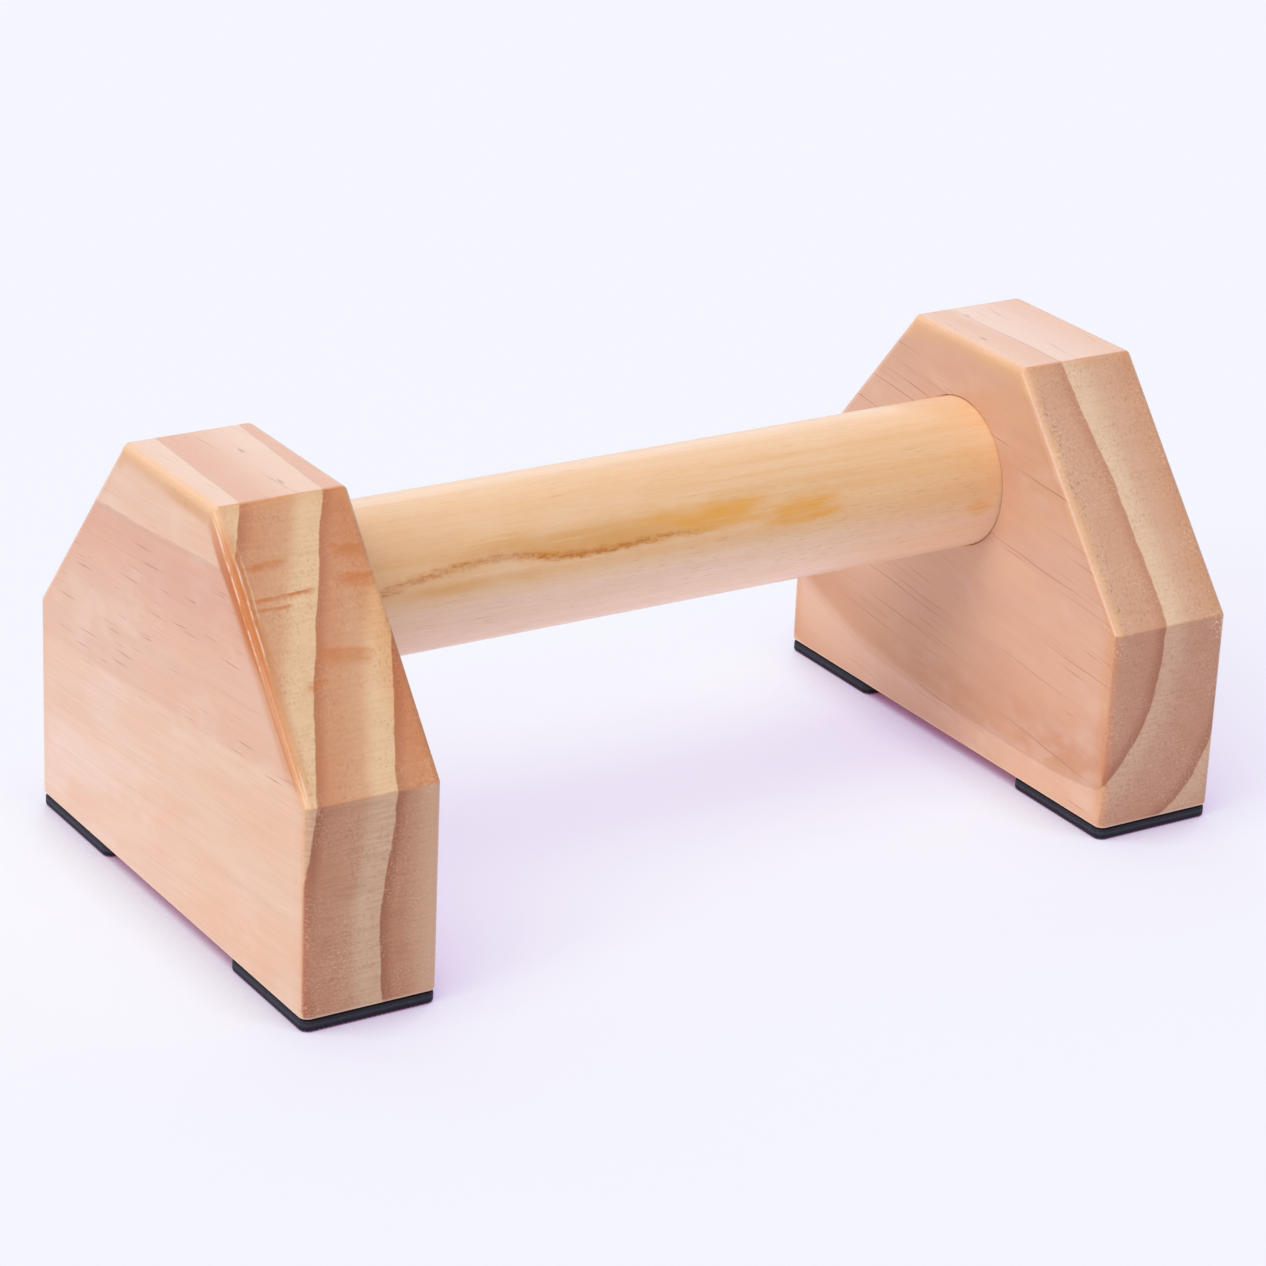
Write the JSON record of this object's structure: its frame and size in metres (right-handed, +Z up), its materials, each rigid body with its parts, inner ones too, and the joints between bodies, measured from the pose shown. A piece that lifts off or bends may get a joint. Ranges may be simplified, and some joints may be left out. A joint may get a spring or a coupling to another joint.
{
  "type": "parallette bar",
  "caption": "Low wooden parallette: a round grip bar glued into end blocks with sloped shoulders, standing on rubber foot pads, for push-ups and handstand training.",
  "frame": {"origin": "on the floor, under the middle of the grip bar", "axes": "+X along the grip bar, +Y across the end blocks, +Z up"},
  "size_m": [0.268, 0.144, 0.1144],
  "materials": {
    "block_wood": "clear satin lacquer on pine, end grain on the narrow faces",
    "grip_wood": "clear satin lacquer on a turned pine dowel, grain along the bar",
    "pad_rubber": "matt black anti-slip rubber",
    "pad_adhesive": "dark double-sided adhesive sheet"
  },
  "bodies": {
    "root": {"left_end_block": "block_wood", "right_end_block": "block_wood", "grip_bar": "grip_wood", "left_front_foot_pad": "pad_rubber", "left_front_adhesive_sheet": "pad_adhesive", "left_back_foot_pad": "pad_rubber", "left_back_adhesive_sheet": "pad_adhesive", "right_front_foot_pad": "pad_rubber", "right_front_adhesive_sheet": "pad_adhesive", "right_back_foot_pad": "pad_rubber", "right_back_adhesive_sheet": "pad_adhesive"}
  },
  "joints": []
}
